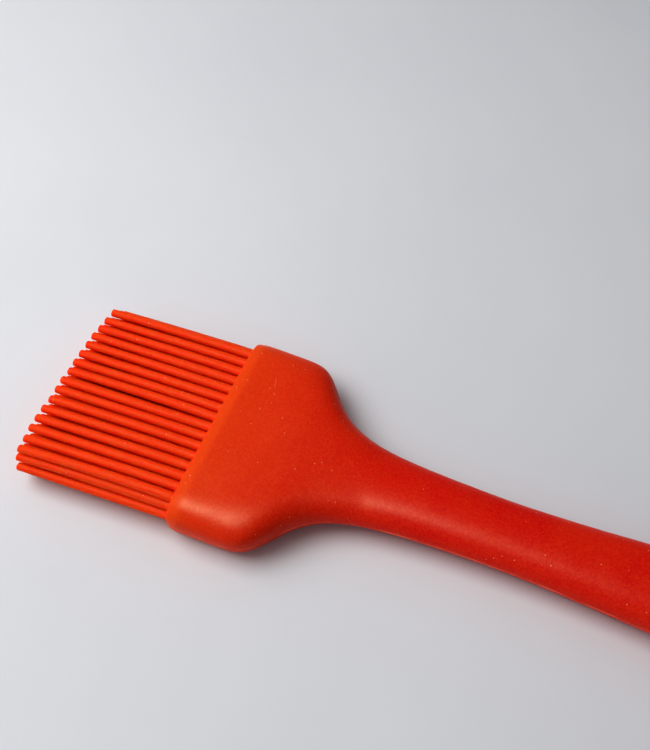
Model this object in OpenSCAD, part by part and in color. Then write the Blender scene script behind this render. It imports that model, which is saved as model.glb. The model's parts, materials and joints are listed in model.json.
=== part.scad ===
// Pastry brush moulded in silicone over a nylon core.
// Millimetres. +X runs from the bristle tips to the handle's end, +Z is up, and the
// origin is at the bottom centre of the whole brush, which lies flat on Z = 0.

/* [Overall] */
// Length from the bristle tips to the end of the handle
overall_len = 220; // [200:5:240]
// Free length of the bristles in front of the lip
bristle_len = 45.5; // [36:0.5:50]

/* [Head] */
// Width of the head
head_w = 60; // [60:1:64]
// Thickness of the head
head_t = 13.8; // [13.8:0.1:15]
// Height of the rounding on the head's long edges
head_r = 5.5; // [4.5:0.1:5.8]
// Width of that rounding at the lip
head_edge_w = 8; // [6:0.5:8]
// How much wider the rounding has grown at the shoulder
shoulder_edge_gain = 5; // [0:1:8]
// Distance behind the lip at which the shoulder turns in
shoulder_pos = 24.7; // [22:0.1:27]
// How tightly the shoulder turns
shoulder_sharp = 10; // [8:1:14]
// How slowly the neck fades into the handle
neck_fade = 0.35; // [0.3:0.05:0.6]
// Length of the rounding at the lip
lip_round = 3; // [1:0.1:3.2]
// Depth of the rounding at the lip
lip_inset = 0.5; // [0.2:0.1:0.5]

/* [Handle] */
// Width at the handle's waist
waist_w = 18; // [17:0.5:20]
// Thickness at the handle's waist
waist_t = 11.6; // [11:0.1:13]
// Width at the grip
grip_w = 24.4; // [22:0.2:26]
// Thickness at the grip
grip_t = 13.8; // [13:0.1:15]

/* [Hanging hole] */
// Diameter of the hanging hole
hole_d = 8; // [6:0.5:8]
// Distance of the hole's centre from the end of the handle
hole_inset = 11.5; // [11:0.5:14]
// Radius of the rounded mouth on each side
hole_round = 1.2; // [0.6:0.1:1.5]

/* [Bristles] */
// Number of rows, from top to bottom
row_count = 5; // [3:2:5]
// Bristles in the middle row; each row outwards has one fewer
middle_count = 18; // [14:1:18]
// Distance between bristles in a row
pitch = 3.2; // [3:0.1:3.2]
// Height between rows
row_step = 2.15; // [2.1:0.05:2.15]
// Diameter of a bristle at its root
root_d = 2.3; // [2:0.1:2.3]
// Diameter of a bristle at its tip
tip_d = 2.1; // [1.6:0.1:2.2]

/* [Core] */
// Thickness of the core's plate
core_t = 4; // [3:0.5:5]
// Silicone between the core's edge and the outside
skin = 4.2; // [3.5:0.1:4.5]

/* [Hidden] */
$fn = 48;

red = [0.86, 0.15, 0.07];
bristle_red = [0.92, 0.22, 0.08];
nylon = [0.25, 0.25, 0.27];

// The body's own stations are measured back from the lip.
body_len = overall_len - bristle_len;
lip_x = bristle_len - overall_len / 2;

// Stations where one stretch of the body gives way to the next
head_flat_end = 16;
neck_s = 46;
waist_s = 78;
grip_s = 150;

// How square the section is: 1 gives an ellipse, and more gives a rounded rectangle
head_squareness = 10;
waist_squareness = 1.2;
grip_squareness = 2;

// Each ring of points has one pair on either side of the middle, which leaves the
// head a true flat that the brush rests on.
ring_steps = 48;
ring_angles = [for (j = [0:ring_steps - 1]) (j + 0.5) * 360 / ring_steps];
mid_z = section_point(head_flat_end / 2, ring_angles[ring_steps / 4])[2];
nose_steps = 9;
nose_max_angle = 84;

// The opening in the lip, which holds the pad
lip_wall = 0.65;
pad_back_s = 7.5;

// Each bristle turns about a point just in front of the lip, and its round root
// stays clear of the pad behind it.
pivot_s = -0.4;
root_gap = 0.08;
pad_face_s = pivot_s + root_d / 2 + root_gap;

// The pad's tenon, which the silicone locks through, and the core behind it
tenon_w = 46;
tenon_t = 6.4;
core_front_s = 13;
tenon_hole_d = 3;
tenon_hole_gap = 9;

hole_s = body_len - hole_inset;
eye_d = hole_d + 3.6;
rib_w = 4;
rib_t = 8;
rib_s = [34, 146];
lock_hole_d = 4.4;
lock_holes = [[19, 5], [19, 14], [27, 6]];

// --- Outline of the body -------------------------------------------------------

function ease(s, from, to) =
    let (u = min(1, max(0, (s - from) / (to - from)))) u * u * (3 - 2 * u);

// Falls from 1 at the head to 0 along the neck
function head_share(s) =
    pow(1 + pow(max(s, 0) / shoulder_pos, shoulder_sharp), -neck_fade);

// Rounds a half size off to nothing over its own length at the handle's end
function end_round(s, r) =
    let (u = (s - (body_len - r)) / r) u <= 0 ? 1 : sqrt(max(0, 1 - u * u));

// Rounds the outside in at the lip
function lip_cut(s) =
    s >= lip_round ? 0 : lip_inset * (1 - sqrt(1 - pow(1 - s / lip_round, 2)));

function half_w(s) =
    let (handle = waist_w / 2 + (grip_w - waist_w) / 2 * ease(s, waist_s, grip_s))
    (handle + (head_w - waist_w) / 2 * head_share(s)) * end_round(s, grip_w / 2)
        - lip_cut(s);

function half_t(s) =
    let (handle = waist_t / 2 + (grip_t - waist_t) / 2 * ease(s, waist_s, grip_s))
    (handle + (head_t - waist_t) / 2 * (1 - ease(s, head_flat_end, neck_s)))
        * end_round(s, grip_t / 2) - lip_cut(s);

function squareness(s) =
    waist_squareness
    + (head_squareness - waist_squareness) * (1 - ease(s, head_flat_end, neck_s))
    + (grip_squareness - waist_squareness) * ease(s, waist_s, grip_s);

// Height of the rounding between the top and the side
function edge_r(s) =
    let (share = ease(s, head_flat_end, neck_s))
    (head_r - lip_cut(s)) * (1 - share) + half_t(s) * share;

// Width of the same rounding
function edge_w(s) =
    let (share = ease(s, head_flat_end, neck_s),
         head = head_edge_w + shoulder_edge_gain * ease(s, lip_round, shoulder_pos))
    (head - lip_cut(s)) * (1 - share) + half_t(s) * share;

// Drives a cosine or sine towards -1 or 1
function squared(c, k) = k * c / sqrt(1 + (k * k - 1) * c * c);

// A point of the section, moved in from the outside by the given wall
function section_point(s, a, wall = 0) =
    let (w = half_w(s), t = half_t(s), k = squareness(s),
         rw = min(w, edge_w(s)), r = min(t, edge_r(s)))
    [s,
     (w - rw) * squared(cos(a), k) + (rw - wall) * cos(a),
     (t - r) * squared(sin(a), k) + (r - wall) * sin(a)];

// --- Solids --------------------------------------------------------------------

// Puts a shape drawn from the lip, about its own middle plane, in the part's frame
module from_lip() {
    translate([lip_x, 0, mid_z]) children();
}

module outer_form() {
    stations = concat(
        [for (i = [0:4]) lip_round * (1 - cos(i * 22.5))],
        [for (s = [4:3:16]) s],
        [for (s = [18:1.6:44]) s],
        [for (s = [48:6:156]) s],
        [for (i = [0:nose_steps])
            body_len - grip_w / 2 + grip_w / 2 * sin(i * nose_max_angle / nose_steps)]
    );
    count = len(stations);
    last = (count - 1) * ring_steps;
    points = concat(
        [for (s = stations) for (a = ring_angles) section_point(s, a)],
        [[body_len, 0, 0]]
    );
    sides = [for (i = [0:count - 2]) for (j = [0:ring_steps - 1])
        let (a = i * ring_steps + j, b = i * ring_steps + (j + 1) % ring_steps)
        each [[a, b, a + ring_steps], [b, b + ring_steps, a + ring_steps]]];
    front = [[for (j = [ring_steps - 1:-1:0]) j]];
    tail = [for (j = [0:ring_steps - 1])
        [last + j, last + (j + 1) % ring_steps, count * ring_steps]];
    polyhedron(points, concat(sides, front, tail), convexity = 6);
}

// A bar along X that fits the opening in the lip
module opening_form(from_s, to_s) {
    outline = [for (a = ring_angles)
        let (p = section_point(0, a, lip_wall)) [p[1], p[2]]];
    translate([from_s, 0, 0]) rotate([90, 0, 90])
        linear_extrude(to_s - from_s) polygon(outline);
}

module pad_form() {
    opening_form(pad_face_s, pad_back_s);
    difference() {
        translate([pad_back_s, -tenon_w / 2, -tenon_t / 2])
            cube([core_front_s - pad_back_s, tenon_w, tenon_t]);
        for (i = [-2:2])
            translate([(pad_back_s + core_front_s) / 2, i * tenon_hole_gap, -tenon_t])
                cylinder(h = 2 * tenon_t, d = tenon_hole_d);
    }
}

module core_outline() {
    edge = [for (s = [core_front_s:1.5:hole_s]) [s, half_w(s) - skin]];
    eye_r = half_w(hole_s) - skin;
    turn = [for (a = [80:-10:0]) [hole_s + eye_r * cos(a), eye_r * sin(a)]];
    upper = concat(edge, turn);
    polygon(concat(upper, [for (i = [len(upper) - 2:-1:0]) [upper[i][0], -upper[i][1]]]));
}

module core_form() {
    difference() {
        union() {
            translate([0, 0, -core_t / 2]) linear_extrude(core_t) core_outline();
            translate([rib_s[0], -rib_w / 2, -rib_t / 2])
                cube([rib_s[1] - rib_s[0], rib_w, rib_t]);
        }
        translate([hole_s, 0, -core_t]) cylinder(h = 2 * core_t, d = eye_d);
        for (p = lock_holes) for (side = [-1, 1])
            translate([p[0], side * p[1], -core_t]) cylinder(h = 2 * core_t, d = lock_hole_d);
    }
}

// The hanging hole with a rounded mouth on each side
module hanging_hole() {
    r = hole_d / 2;
    top = half_t(hole_s);
    translate([hole_s, 0, 0]) {
        translate([0, 0, -grip_t]) cylinder(h = 2 * grip_t, r = r);
        for (side = [0, 1]) mirror([0, 0, side])
            rotate_extrude() difference() {
                translate([r - 0.5, top - hole_round])
                    square([hole_round + 0.5, hole_round + 1]);
                translate([r + hole_round, top - hole_round]) circle(r = hole_round);
            }
    }
}

module silicone_body() {
    color(red) from_lip() difference() {
        outer_form();
        opening_form(-1, pad_face_s + 1);
        pad_form();
        core_form();
        hanging_hole();
    }
}

module handle_core() {
    color(nylon) from_lip() core_form();
}

module bristle_pad() {
    color(bristle_red) from_lip() pad_form();
}

// One bristle, from its round root to its flat tip
module bristle() {
    sphere(d = root_d);
    rotate([0, -90, 0])
        cylinder(h = bristle_len + pivot_s, d1 = root_d, d2 = tip_d);
}

// Row 1 is the top one
module bristle_row(row) {
    from_middle = row - (row_count + 1) / 2;
    count = middle_count - abs(from_middle);
    color(bristle_red) from_lip()
        for (i = [0:count - 1])
            translate([pivot_s, (i - (count - 1) / 2) * pitch, -from_middle * row_step])
                bristle();
}

silicone_body();
handle_core();
bristle_pad();
bristle_row(1);  // bristle_row_1
bristle_row(2);  // bristle_row_2
bristle_row(3);  // bristle_row_3
bristle_row(4);  // bristle_row_4
bristle_row(5);  // bristle_row_5
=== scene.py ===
import json
import math
import random

import bmesh
import bpy
import numpy as np
from mathutils import Matrix, Vector, noise


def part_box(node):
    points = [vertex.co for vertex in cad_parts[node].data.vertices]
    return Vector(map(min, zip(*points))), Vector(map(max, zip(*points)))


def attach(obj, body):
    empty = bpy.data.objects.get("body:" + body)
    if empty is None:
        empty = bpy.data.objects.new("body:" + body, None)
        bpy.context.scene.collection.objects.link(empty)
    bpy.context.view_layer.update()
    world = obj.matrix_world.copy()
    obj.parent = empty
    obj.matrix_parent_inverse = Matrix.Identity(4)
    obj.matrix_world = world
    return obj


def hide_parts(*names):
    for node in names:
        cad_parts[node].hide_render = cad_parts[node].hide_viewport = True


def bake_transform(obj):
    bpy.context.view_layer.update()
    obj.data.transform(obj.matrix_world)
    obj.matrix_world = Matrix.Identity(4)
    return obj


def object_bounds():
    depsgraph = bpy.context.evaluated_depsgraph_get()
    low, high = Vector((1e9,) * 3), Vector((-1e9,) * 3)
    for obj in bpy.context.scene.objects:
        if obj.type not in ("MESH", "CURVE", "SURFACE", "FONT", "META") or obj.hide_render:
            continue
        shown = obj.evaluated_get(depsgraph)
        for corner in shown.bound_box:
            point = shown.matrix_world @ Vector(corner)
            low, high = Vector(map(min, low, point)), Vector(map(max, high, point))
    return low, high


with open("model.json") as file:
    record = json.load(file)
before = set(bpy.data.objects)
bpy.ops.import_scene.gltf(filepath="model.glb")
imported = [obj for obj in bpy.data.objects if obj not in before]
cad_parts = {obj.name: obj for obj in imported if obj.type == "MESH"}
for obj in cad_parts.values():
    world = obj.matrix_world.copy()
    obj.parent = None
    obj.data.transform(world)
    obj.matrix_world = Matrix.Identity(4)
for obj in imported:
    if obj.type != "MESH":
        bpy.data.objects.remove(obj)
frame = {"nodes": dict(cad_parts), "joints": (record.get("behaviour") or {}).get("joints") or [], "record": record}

CAD_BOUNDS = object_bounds()
MM = 0.001
JOINTS = {j["name"]: j for j in frame["joints"]}
MOUNTS = {m["name"]: m for m in frame["record"]["mounts"]}
BODY_LOW, BODY_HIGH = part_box("silicone_body")
LIP_X = BODY_LOW.x
MID_Z = JOINTS["row_3_bend"]["pos_m"][2]

# --- The body's form, as the part defines it ------------------------------------

BODY_LEN = (BODY_HIGH.x - BODY_LOW.x) / MM
HEAD_W = (BODY_HIGH.y - BODY_LOW.y) / MM
HEAD_T = 2 * MID_Z / MM
HEAD_R = 5.5                  # height of the rounding on the head's long edges
HEAD_EDGE_W = 8.0             # its width at the lip
SHOULDER_EDGE_GAIN = 5.0      # how much wider it has grown at the shoulder
LIP_ROUND = 3.0
SHOULDER_POS = 24.7
SHOULDER_SHARP = 10
NECK_FADE = 0.35
LIP_BAND = 3.3                # the sloping band along the lip
LIP_SLOPE = 0.46
LIP_EDGE = 0.35               # the small round at its very edge
LIP_EDGE_DEPTH = 0.12
WAIST_W, WAIST_T = 18.0, 11.6
GRIP_W, GRIP_T = 24.4, 13.8
HEAD_FLAT_END, NECK_S, WAIST_S, GRIP_S = 16.0, 46.0, 78.0, 150.0
HEAD_SQUARE, WAIST_SQUARE, GRIP_SQUARE = 10.0, 1.2, 2.0
HOLE_S = MOUNTS["hanging_hole"]["pos_m"][0] / MM - LIP_X / MM
HOLE_R = MOUNTS["hanging_hole"]["dims"]["r_mm"]
HOLE_ROUND = 1.2
LIP_WALL = 0.65
PAD_FACE_S = 0.83


def ease(s, low, high):
    u = min(1.0, max(0.0, (s - low) / (high - low)))
    return u * u * (3 - 2 * u)


def head_share(s):
    """Falls from 1 at the head to 0 along the neck."""
    return (1 + (max(s, 0) / SHOULDER_POS) ** SHOULDER_SHARP) ** -NECK_FADE


def end_round(s, r):
    """Rounds a half size off to nothing over its own length at the handle's end."""
    u = (s - (BODY_LEN - r)) / r
    return 1.0 if u <= 0 else math.sqrt(max(0.0, 1 - u * u))


def lip_cut(s):
    """Slopes the outside in along the lip, and rounds the edge itself."""
    slope = LIP_SLOPE * max(0.0, 1 - s / LIP_BAND) ** 1.45
    u = max(0.0, 1 - s / LIP_EDGE)
    return slope + LIP_EDGE_DEPTH * (1 - math.sqrt(1 - min(1.0, u * u)))


def half_w(s):
    handle = WAIST_W / 2 + (GRIP_W - WAIST_W) / 2 * ease(s, WAIST_S, GRIP_S)
    return (handle + (HEAD_W - WAIST_W) / 2 * head_share(s)) * end_round(s, GRIP_W / 2) - lip_cut(s)


def half_t(s):
    handle = WAIST_T / 2 + (GRIP_T - WAIST_T) / 2 * ease(s, WAIST_S, GRIP_S)
    head = (HEAD_T - WAIST_T) / 2 * (1 - ease(s, HEAD_FLAT_END, NECK_S))
    return (handle + head) * end_round(s, GRIP_T / 2) - lip_cut(s)


def squareness(s):
    head = (HEAD_SQUARE - WAIST_SQUARE) * (1 - ease(s, HEAD_FLAT_END, NECK_S))
    return WAIST_SQUARE + head + (GRIP_SQUARE - WAIST_SQUARE) * ease(s, WAIST_S, GRIP_S)


def edge_r(s):
    share = ease(s, HEAD_FLAT_END, NECK_S)
    return (HEAD_R - lip_cut(s)) * (1 - share) + half_t(s) * share


def edge_w(s):
    share = ease(s, HEAD_FLAT_END, NECK_S)
    head = HEAD_EDGE_W + SHOULDER_EDGE_GAIN * ease(s, LIP_ROUND, SHOULDER_POS)
    return (head - lip_cut(s)) * (1 - share) + half_t(s) * share


def squared(c, k):
    """Drives a cosine or sine towards -1 or 1."""
    return k * c / np.sqrt(1 + (k * k - 1) * c * c)


def section(s, wall=0.0, steps=720):
    """The body's outline across X at s, as (y, z) points from +Y round over the top."""
    a = np.linspace(0, 2 * math.pi, steps, endpoint=False)
    w, t, k = half_w(s), half_t(s), squareness(s)
    rw, r = min(w, edge_w(s)), min(t, edge_r(s))
    y = (w - rw) * squared(np.cos(a), k) + (rw - wall) * np.cos(a)
    z = (t - r) * squared(np.sin(a), k) + (r - wall) * np.sin(a)
    return np.stack([y, z], axis=1)


# --- Mesh helpers ----------------------------------------------------------------

def from_lip(points):
    """Points in millimetres from the lip and the middle plane, in the frame's metres."""
    p = np.asarray(points, float) * MM
    return p + np.array([LIP_X, 0.0, MID_Z])


def make_mesh(name, points, faces):
    """A closed, smooth mesh with its normals outwards."""
    mesh = bpy.data.meshes.new(name)
    mesh.from_pydata([tuple(p) for p in points], [], faces)
    bm = bmesh.new()
    bm.from_mesh(mesh)
    bmesh.ops.recalc_face_normals(bm, faces=bm.faces)
    bm.to_mesh(mesh)
    bm.free()
    mesh.shade_smooth()
    obj = bpy.data.objects.new(name, mesh)
    bpy.context.scene.collection.objects.link(obj)
    return obj


def strip(first, second):
    """Quads between two equal rings of vertex numbers."""
    count = len(first)
    return [(first[j], first[(j + 1) % count], second[(j + 1) % count], second[j])
            for j in range(count)]


# --- The moulded body --------------------------------------------------------------

RING = 128                    # points round the body
SEAM_STEPS = (0.0, 0.14, 0.34)    # extra points beside the parting line, mm
SEAM_HEIGHT = 0.18            # how far the flash on the parting line stands out, mm
PATCH_HALF = 7.4              # the finer patch around the hanging hole: half its length, mm
PATCH_STEPS = 15              # and half its width, in points of the ring


def ring_positions(half_length):
    """Places along half an outline, closer together beside the parting line at each end."""
    inner = np.linspace(SEAM_STEPS[-1], half_length - SEAM_STEPS[-1], RING // 2 - 3)
    near = [SEAM_STEPS[0], SEAM_STEPS[1]]
    far = [half_length - SEAM_STEPS[1]]
    return np.concatenate([near, inner, far])


def resampled(outline):
    """RING points at even steps along a closed outline, which starts on the parting line."""
    closed = np.vstack([outline, outline[:1]])
    along = np.concatenate([[0], np.cumsum(np.linalg.norm(np.diff(closed, axis=0), axis=1))])
    half = along[-1] / 2
    steps = ring_positions(half)
    places = np.concatenate([steps, steps + half])
    return np.stack([np.interp(places, along, closed[:, i]) for i in (0, 1)], axis=1)


def body_stations():
    lip = [LIP_EDGE * (1 - math.cos(math.radians(a))) for a in range(0, 90, 15)]
    head = list(np.arange(LIP_EDGE, LIP_BAND, 0.3)) + list(np.arange(LIP_BAND, 48, 0.7))
    handle = list(np.arange(48, BODY_LEN - GRIP_W / 2, 1.1))
    nose = [BODY_LEN - GRIP_W / 2 * (1 - math.sin(math.radians(a))) for a in range(0, 89, 3)]
    return lip + head + handle + nose


def top_height(s, y):
    """Height of the body's top over the middle plane."""
    outline = section(s)
    top = outline[:len(outline) // 2 + 1][::-1]
    return float(np.interp(y, top[:, 0], top[:, 1]))


def hole_sheet(points, border, side):
    """Rings from a border of vertices in to the hanging hole's wall. Returns each ring's vertices."""
    centre = np.array([HOLE_S, 0.0])
    edge_radius = HOLE_R + HOLE_ROUND
    rings = [list(border)]
    outer = [np.array(points[i][:2]) for i in border]
    rays = [(p - centre) / np.linalg.norm(p - centre) for p in outer]
    for u in (0.82, 0.64, 0.46, 0.3, 0.15, 0.0):
        ring = []
        for p, ray in zip(outer, rays):
            x, y = (centre + ray * edge_radius) * (1 - u) + p * u
            ring.append(len(points))
            points.append((x, y, side * top_height(x, y)))
        rings.append(ring)
    for a in (15, 30, 45, 60, 75, 90):
        radius = edge_radius - HOLE_ROUND * math.sin(math.radians(a))
        drop = HOLE_ROUND * (1 - math.cos(math.radians(a)))
        ring = []
        for ray, rim in zip(rays, rings[6]):
            x, y = centre + ray * radius
            ring.append(len(points))
            points.append((x, y, points[rim][2] - side * drop))
        rings.append(ring)
    return rings


def body_mesh():
    stations = body_stations()
    points, grid = [], []
    inside = [i for i, s in enumerate(stations) if abs(s - HOLE_S) < PATCH_HALF]
    first, last = inside[0] - 1, inside[-1] + 1
    top_mid, low_mid = RING // 4, 3 * RING // 4
    for i, s in enumerate(stations):
        ring = resampled(section(s))
        row = []
        for j, (y, z) in enumerate(ring):
            hidden = first < i < last and min(abs(j - top_mid), abs(j - low_mid)) < PATCH_STEPS
            row.append(None if hidden else len(points))
            if not hidden:
                points.append((s, y, z))
        grid.append(row)
    faces = []
    for i in range(len(stations) - 1):
        for j in range(RING):
            k = (j + 1) % RING
            in_patch = first <= i < last and any(
                mid - PATCH_STEPS <= j < mid + PATCH_STEPS for mid in (top_mid, low_mid))
            if not in_patch:
                faces.append((grid[i][j], grid[i][k], grid[i + 1][k], grid[i + 1][j]))
    # The rounded nose closes on one point.
    tip = len(points)
    points.append((BODY_LEN, 0.0, 0.0))
    faces += [(grid[-1][j], grid[-1][(j + 1) % RING], tip) for j in range(RING)]
    # The hanging hole, from the top, through the handle and out at the bottom.
    walls = []
    for mid, side in ((top_mid, 1), (low_mid, -1)):
        span = range(-PATCH_STEPS, PATCH_STEPS + 1)
        border = [grid[first][mid + side * j] for j in span]
        border += [grid[i][mid + side * PATCH_STEPS] for i in range(first + 1, last)]
        border += [grid[last][mid + side * j] for j in reversed(span)]
        border += [grid[i][mid - side * PATCH_STEPS] for i in range(last - 1, first, -1)]
        rings = hole_sheet(points, border, side)
        for a, b in zip(rings, rings[1:]):
            faces += strip(a, b)
        walls.append(rings[-1])
    previous = walls[0]
    for u in (0.2, 0.4, 0.6, 0.8):
        ring = []
        for a, b in zip(*walls):
            ring.append(len(points))
            points.append(tuple(np.array(points[a]) * (1 - u) + np.array(points[b]) * u))
        faces += strip(previous, ring)
        previous = ring
    faces += strip(previous, walls[1])
    # The lip turns in and back to the floor behind the pad's face.
    previous = grid[0]
    lip_edge = resampled(section(0))
    opening = resampled(section(0, LIP_WALL))
    for inward, s in ((0.12, -0.05), (0.4, -0.09), (0.75, -0.03), (0.95, 0.16), (1.0, 0.5), (1.0, 3.0)):
        ring = []
        for outer, inner in zip(lip_edge, opening):
            y, z = outer * (1 - inward) + inner * inward
            ring.append(len(points))
            points.append((s, y, z))
        faces += strip(previous, ring)
        previous = ring
    centre = len(points)
    points.append((3.0, 0.0, 0.0))
    faces += [(previous[(j + 1) % RING], previous[j], centre) for j in range(RING)]
    return points, faces, grid


def silicone_body():
    """The head, neck and handle, one moulding with a fine parting line round its middle."""
    points, faces, grid = body_mesh()
    obj = make_mesh("brush_body", from_lip(points), faces)
    mesh = obj.data
    normals = [v.normal.copy() for v in mesh.vertices]
    shift = [0.0] * len(mesh.vertices)
    # The mould's two halves leave a faint uneven line of flash at their joint.
    for row in grid[10:]:
        for j in (0, RING // 2):
            if row[j] is not None:
                p = mesh.vertices[row[j]].co / MM
                uneven = 0.55 + 0.6 * noise.noise(p / 9) + 0.35 * noise.noise(p / 1.7)
                shift[row[j]] += SEAM_HEIGHT * max(0.15, uneven)
    # The cured rubber isn't perfectly flat.
    for i, v in enumerate(mesh.vertices):
        p = v.co / MM
        if p.x - LIP_X / MM > 0.6:
            shift[i] += 0.05 * noise.noise(p / 14) + 0.012 * noise.noise(p / 3.1)
    for v, n, d in zip(mesh.vertices, normals, shift):
        v.co += n * d * MM
    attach(obj, "handle")
    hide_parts("silicone_body")
    return obj


# --- Bristles ---------------------------------------------------------------------

ROWS = 5
MIDDLE_COUNT = 18
PITCH = 3.2
BRISTLE_LEN = (LIP_X - CAD_BOUNDS[0].x) / MM
ROOT_R, TIP_R = 1.34, 1.12    # thicker than the part's own bristles: adjacent rows overlap
COLLAR = 0.22                 # extra radius of the fillet where a bristle meets the pad
ROOT_DEPTH = 1.6              # how far a bristle runs into the pad
BRISTLE_SIDES = 20
TIP_ROUND = 0.36
BRISTLE_STEPS = 34
# Bristles that bow away from the slit in the middle, as (row, place in the row): mm.
# The largest offsets push a bristle into the next row.
PARTED = {(1, 7): 0.38, (1, 8): -0.22, (2, 7): 0.45, (2, 8): -0.45, (3, 7): 0.10, (3, 8): -0.60,
          (4, 7): -0.70, (4, 8): -0.30, (5, 6): -0.60}
# Sideways drift at the tips: places across the row, and the drift there, mm.
LEAN_AT = (-27, -22, -12, -5, 2, 9, 15, 24)
LEAN_BY = (-2.3, -2.1, -2.1, -1.65, -1.25, -1.35, -1.05, -1.25)


def bristle_profile(length):
    """(distance from the pad's face, radius) pairs from the root to the tip's centre."""
    profile = [(-ROOT_DEPTH + PAD_FACE_S, ROOT_R * 0.9), (-0.2, ROOT_R)]
    profile += [(0.0, ROOT_R + COLLAR), (0.18, ROOT_R + 0.09), (0.45, ROOT_R + 0.01)]
    body_end = length - TIP_ROUND
    for i in range(1, BRISTLE_STEPS + 1):
        u = i / BRISTLE_STEPS
        profile.append((0.45 + (body_end - 0.45) * u, ROOT_R + (TIP_R - ROOT_R) * u ** 1.6))
    for a in (18, 36, 54, 72, 90):
        a = math.radians(a)
        profile.append((body_end + TIP_ROUND * math.sin(a), TIP_R - TIP_ROUND * (1 - math.cos(a))))
    profile.append((length + 0.03, (TIP_R - TIP_ROUND) * 0.5))
    return profile


def lean(y, rng):
    """Sideways and vertical drift at a bristle's tip, mm."""
    sideways = float(np.interp(y, LEAN_AT, LEAN_BY)) + rng.uniform(-0.13, 0.13)
    return sideways, -0.25 + rng.uniform(-0.14, 0.14)


def bristle_row(row):
    """One row of bristles, each drifting sideways and drooping towards its tip."""
    rng = random.Random(100 + row)
    from_middle = row - (ROWS + 1) / 2
    count = round(MIDDLE_COUNT - abs(from_middle))
    z = JOINTS[f"row_{row}_bend"]["pos_m"][2] / MM - MID_Z / MM
    points, faces = [], []
    for i in range(count):
        y = ((count - 1) / 2 - i) * PITCH
        worn = (2.6 if y > 0 else 0.8) * (y / 27) ** 4
        length = BRISTLE_LEN + PAD_FACE_S - worn + rng.uniform(-0.25, 0.25)
        side, drop = lean(y, rng)
        bow, bow_z = rng.uniform(-0.12, 0.12), rng.uniform(-0.08, 0.08)
        parted = PARTED.get((row, i), 0.0)
        turn = rng.uniform(0, 2 * math.pi)
        previous = None
        for d, r in bristle_profile(length):
            u = max(0.0, d) / length
            arch = max(0.0, math.sin(math.pi * u))
            cy = y + side * u ** 1.25 + bow * arch + parted * arch ** 0.6
            cz = z + drop * u ** 1.6 + bow_z * arch
            ring = range(len(points), len(points) + BRISTLE_SIDES)
            for k in range(BRISTLE_SIDES):
                a = turn + 2 * math.pi * k / BRISTLE_SIDES
                points.append((PAD_FACE_S - d, cy + r * math.cos(a), cz + r * math.sin(a)))
            if previous is None:
                root = ring
            else:
                faces += strip(previous, ring)
            previous = ring
        faces.append(tuple(root))
        faces.append(tuple(previous))
    obj = make_mesh(f"bristles_{row}", from_lip(points), faces)
    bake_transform(obj)
    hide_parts(f"bristle_row_{row}")
    return obj


def pad():
    """The block in the head's mouth. Only its face shows, between the bristle roots."""
    outline = resampled(section(0, LIP_WALL + 0.02))
    points, faces = [], []
    previous = None
    for s, grow in ((PAD_FACE_S + 6, 1.0), (PAD_FACE_S + 0.25, 1.0), (PAD_FACE_S + 0.07, 0.997),
                    (PAD_FACE_S, 0.988)):
        ring = list(range(len(points), len(points) + RING))
        points += [(s, y * grow, z * grow) for y, z in outline]
        if previous:
            faces += strip(previous, ring)
        else:
            faces.append(tuple(ring))
        previous = ring
    faces.append(tuple(previous))
    obj = make_mesh("bristle_block", from_lip(points), faces)
    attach(obj, "handle")
    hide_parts("bristle_pad")
    return obj


# --- Materials ---------------------------------------------------------------------

DEEPEST_FROM = 62.0           # where the silicone reaches its deepest colour, mm from the lip
# Colours up to 2 mm behind the lip, and then at 4, 26 and 62 mm. The light orange at the lip is painted glow of
# light through thin rubber and painted light on the lip band; the darker red towards the handle is partly painted
# shade.
BODY_GLOW_COLOURS = ((0.79, 0.078, 0.002), (0.75, 0.054, 0.002),
                (0.70, 0.023, 0.001), (0.69, 0.003, 0.001))
BRISTLE_GLOW_COLOURS = ((0.86, 0.070, 0.001), (0.85, 0.063, 0.001),
                   (0.85, 0.052, 0.001), (0.85, 0.038, 0.001))


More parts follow.
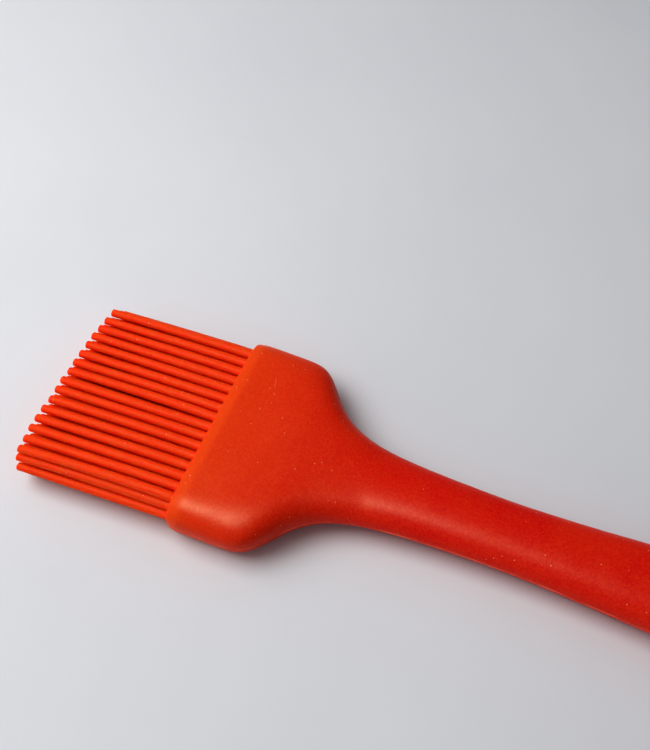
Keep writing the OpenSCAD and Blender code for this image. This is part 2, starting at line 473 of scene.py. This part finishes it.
class Nodes:
    """Adds and links shader nodes in one material."""

    def __init__(self, name):
        self.material = bpy.data.materials.new(name)
        self.material.use_nodes = True
        self.tree = self.material.node_tree
        self.shader = self.tree.nodes["Principled BSDF"]

    def add(self, kind, inputs=None, **settings):
        node = self.tree.nodes.new(kind)
        for key, value in settings.items():
            setattr(node, key, value)
        for key, value in (inputs or {}).items():
            if isinstance(value, bpy.types.NodeSocket):
                self.tree.links.new(value, node.inputs[key])
            else:
                node.inputs[key].default_value = value
        return node

    def place(self):
        return self.add("ShaderNodeTexCoord").outputs["Object"]

    def noise(self, place, scale, detail=3.0, roughness=0.55):
        values = {"Vector": place, "Scale": scale, "Detail": detail, "Roughness": roughness}
        return self.add("ShaderNodeTexNoise", values).outputs["Fac"]

    def ramp(self, value, stops):
        node = self.add("ShaderNodeValToRGB", {"Fac": value})
        elements = node.color_ramp.elements
        while len(elements) < len(stops):
            elements.new(0.5)
        for element, (position, colour) in zip(elements, stops):
            element.position = position
            element.color = (*colour, 1.0)
        return node.outputs["Color"]

    def span(self, value, from_low, from_high, to_low, to_high):
        values = {"Value": value, 1: from_low, 2: from_high, 3: to_low, 4: to_high}
        return self.add("ShaderNodeMapRange", values).outputs["Result"]

    def mix(self, factor, a, b):
        node = self.add("ShaderNodeMix", {0: factor}, data_type="RGBA")
        for index, value in ((6, a), (7, b)):
            if isinstance(value, bpy.types.NodeSocket):
                self.tree.links.new(value, node.inputs[index])
            else:
                node.inputs[index].default_value = (*value, 1.0)
        return node.outputs[2]

    def math(self, operation, a, b):
        return self.add("ShaderNodeMath", {0: a, 1: b}, operation=operation).outputs[0]

    def bump(self, height, strength, distance, normal=None):
        values = {"Height": height, "Strength": strength, "Distance": distance}
        if normal:
            values["Normal"] = normal
        return self.add("ShaderNodeBump", values).outputs["Normal"]

    def specks(self, place, spacing, size, share):
        """Small round dots, 1 inside, in about the given share of cells."""
        cells = self.add("ShaderNodeTexVoronoi", {"Vector": place, "Scale": 1 / spacing})
        dot = self.span(cells.outputs["Distance"], size, size * 0.6, 0.0, 1.0)
        pick = self.add("ShaderNodeSeparateColor", {"Color": cells.outputs["Color"]})
        chosen = self.math("LESS_THAN", pick.outputs[0], share)
        return self.math("MULTIPLY", dot, chosen)

    def set(self, **sockets):
        for name, value in sockets.items():
            socket = self.shader.inputs[name.replace("_", " ")]
            if isinstance(value, bpy.types.NodeSocket):
                self.tree.links.new(value, socket)
            else:
                socket.default_value = value


def silicone(name, colours, dust_share, satin, depth_mm, glow, seam=False):
    """Satin silicone with grain, dust specks and scuffs, coloured by distance from the lip: a painted glow,
    lighter at the lip and deeper red behind.
    """
    n = Nodes(name)
    place = n.place()
    split = n.add("ShaderNodeSeparateXYZ", {"Vector": place})
    along = n.span(split.outputs["X"], LIP_X, LIP_X + DEEPEST_FROM * MM, 0.0, 1.0)
    broad = n.noise(place, 55, 3.0)
    grain = n.noise(place, 1500, 4.0, 0.7)
    depth = n.math("ADD", along, n.span(broad, 0.3, 0.7, -0.01, 0.01))
    thin_glow, edge, middle, thick = colours
    # Painted light: this ramp paints the lip lighter, standing in for glow through thin rubber, and paints the
    # neck and handle darker red, partly as painted shade.
    colour = n.ramp(depth, [(0.0, thin_glow), (0.035, thin_glow), (0.06, edge), (0.42, middle), (1.0, thick)])
    colour = n.mix(n.span(grain, 0.42, 0.64, 0.0, 0.24), colour, (1.0, 0.14, 0.02))
    colour = n.mix(n.span(broad, 0.40, 0.66, 0.0, 0.09), colour, (1.0, 0.17, 0.03))
    if seam:
        off_line = n.math("ABSOLUTE", n.math("SUBTRACT", split.outputs["Z"], MID_Z), 0.0)
        line = n.span(off_line, 0.14 * MM, 0.30 * MM, 1.0, 0.0)
        broken = n.span(n.noise(place, 150, 2.0), 0.40, 0.62, 0.15, 0.8)
        colour = n.mix(n.math("MULTIPLY", line, broken), colour, (1.0, 0.30, 0.16))
    dust = n.specks(place, 2.2 * MM, 0.07, dust_share)
    colour = n.mix(n.math("MULTIPLY", dust, 0.85), colour, (1.0, 0.66, 0.52))
    # Short pale scuffs lie along stretched cells.
    stretched = n.add("ShaderNodeMapping", {
        "Vector": place, "Rotation": (0.0, 0.0, 0.3), "Scale": (1 / 16, 1.0, 1.0)},
        vector_type="TEXTURE").outputs["Vector"]
    scuff = n.specks(stretched, 30 * MM, 0.08, 0.25)
    colour = n.mix(n.math("MULTIPLY", scuff, 0.25), colour, (0.95, 0.45, 0.3))
    low, high = satin
    rough = n.span(n.noise(place, 140, 5.0, 0.65), 0.3, 0.7, low, high)
    orange_peel = n.noise(place, 520, 2.0)
    normal = n.bump(orange_peel, 0.25, 0.12 * MM)
    normal = n.bump(grain, 0.35, 0.05 * MM, normal)
    n.set(Base_Color=colour, Roughness=rough, Normal=normal, IOR=1.41,
          Subsurface_Weight=glow, Subsurface_Scale=depth_mm * MM,
          Subsurface_Radius=(1.0, 0.10, 0.05), Specular_IOR_Level=0.33)
    return n.material


def nylon(name):
    """Dull moulded nylon with glass fibre in it."""
    n = Nodes(name)
    place = n.place()
    fibres = n.noise(n.add("ShaderNodeMapping", {
        "Vector": place, "Scale": (0.2, 1.0, 1.0)}).outputs["Vector"], 900, 5.0, 0.7)
    colour = n.ramp(fibres, [(0.3, (0.012, 0.012, 0.014)), (0.7, (0.035, 0.035, 0.038))])
    rough = n.span(fibres, 0.3, 0.7, 0.5, 0.68)
    n.set(Base_Color=colour, Roughness=rough, Normal=n.bump(fibres, 0.3, 0.05 * MM))
    return n.material


def tabletop():
    n = Nodes("tabletop")
    place = n.place()
    cloud = n.noise(place, 9, 4.0)
    colour = n.ramp(cloud, [(0.3, (0.70, 0.71, 0.72)), (0.7, (0.74, 0.745, 0.755))])
    n.set(Base_Color=colour, Roughness=0.75, Specular_IOR_Level=0.2)
    return n.material


# --- Camera, light and floor --------------------------------------------------------

def camera():
    azimuth, elevation = math.radians(22.11), math.radians(56.22)
    right = Vector((math.cos(azimuth), math.sin(azimuth), 0))
    back = Vector((math.sin(azimuth) * math.cos(elevation),
                   -math.cos(azimuth) * math.cos(elevation), math.sin(elevation)))
    up = back.cross(right)
    data = bpy.data.cameras.new("camera")
    data.lens = 45.6
    data.sensor_width = 36
    data.clip_start = 0.01
    data.clip_end = 20
    cam = bpy.data.objects.new("camera", data)
    cam.location = Vector((LIP_X + 0.07688, -0.11049, 0.23084))
    cam.rotation_mode = "QUATERNION"
    cam.rotation_quaternion = Matrix((right, up, back)).transposed().to_quaternion()
    bpy.context.scene.collection.objects.link(cam)
    bpy.context.scene.camera = cam


def area_light(name, place, target, size, power, colour):
    data = bpy.data.lights.new(name, "AREA")
    data.shape = "RECTANGLE"
    data.size, data.size_y = size
    data.energy = power
    data.color = colour
    light = bpy.data.objects.new(name, data)
    light.location = Vector(place)
    light.rotation_mode = "QUATERNION"
    light.rotation_quaternion = (Vector(target) - Vector(place)).to_track_quat("-Z", "Y")
    bpy.context.scene.collection.objects.link(light)
    return light


def daylight():
    """Soft light from all round, stronger from the window's side, -X and a little -Y."""
    world = bpy.data.worlds.new("world")
    world.use_nodes = True
    nodes, links = world.node_tree.nodes, world.node_tree.links
    direction = nodes.new("ShaderNodeTexCoord").outputs["Generated"]
    towards = nodes.new("ShaderNodeVectorMath")
    towards.operation = "DOT_PRODUCT"
    links.new(direction, towards.inputs[0])
    towards.inputs[1].default_value = (0.97, 0.24, 0.0)
    strength = nodes.new("ShaderNodeMapRange")
    links.new(towards.outputs["Value"], strength.inputs["Value"])
    for key, value in ((1, -1.0), (2, 1.0), (3, 0.54), (4, 0.02)):
        strength.inputs[key].default_value = value
    background = nodes["Background"]
    background.inputs["Color"].default_value = (0.93, 0.95, 1.0, 1.0)
    links.new(strength.outputs[0], background.inputs["Strength"])
    return world


def studio():
    mesh = bpy.data.meshes.new("floor")
    half = 4.0
    mesh.from_pydata([(-half, -half, 0), (half, -half, 0), (half, half, 0), (-half, half, 0)],
                     [], [(0, 1, 2, 3)])
    floor = bpy.data.objects.new("floor", mesh)
    floor.location.z = CAD_BOUNDS[0].z
    floor.data.materials.append(tabletop())
    bpy.context.scene.collection.objects.link(floor)
    head = (LIP_X, 0, MID_Z)
    window = area_light("window", (-0.36, -0.04, 0.46), head, (0.42, 0.40), 1.78, (0.99, 0.99, 1.0))
    window.visible_glossy = False
    # A softbox overhead draws the long satin highlights and lights nothing else.
    softbox = area_light("softbox", (-0.19, -0.14, 0.60), head, (0.24, 0.20), 3.4, (1.0, 0.90, 0.62))
    softbox.visible_diffuse = False
    bpy.context.scene.world = daylight()
    bpy.context.scene.view_settings.view_transform = "Standard"
    bpy.context.scene.view_settings.look = "High Contrast"


camera()
studio()
body_silicone = silicone("body_silicone", BODY_GLOW_COLOURS, 0.55, (0.32, 0.44), 1.2, 0.4, seam=True)
bristle_silicone = silicone("bristle_silicone", BRISTLE_GLOW_COLOURS, 0.3, (0.50, 0.62), 2.4, 1.0)
silicone_body().data.materials.append(body_silicone)
pad().data.materials.append(bristle_silicone)
for number in range(1, ROWS + 1):
    bristle_row(number).data.materials.append(bristle_silicone)
core = frame["nodes"]["handle_core"]
core.data.materials.clear()
core.data.materials.append(nylon("core_nylon"))
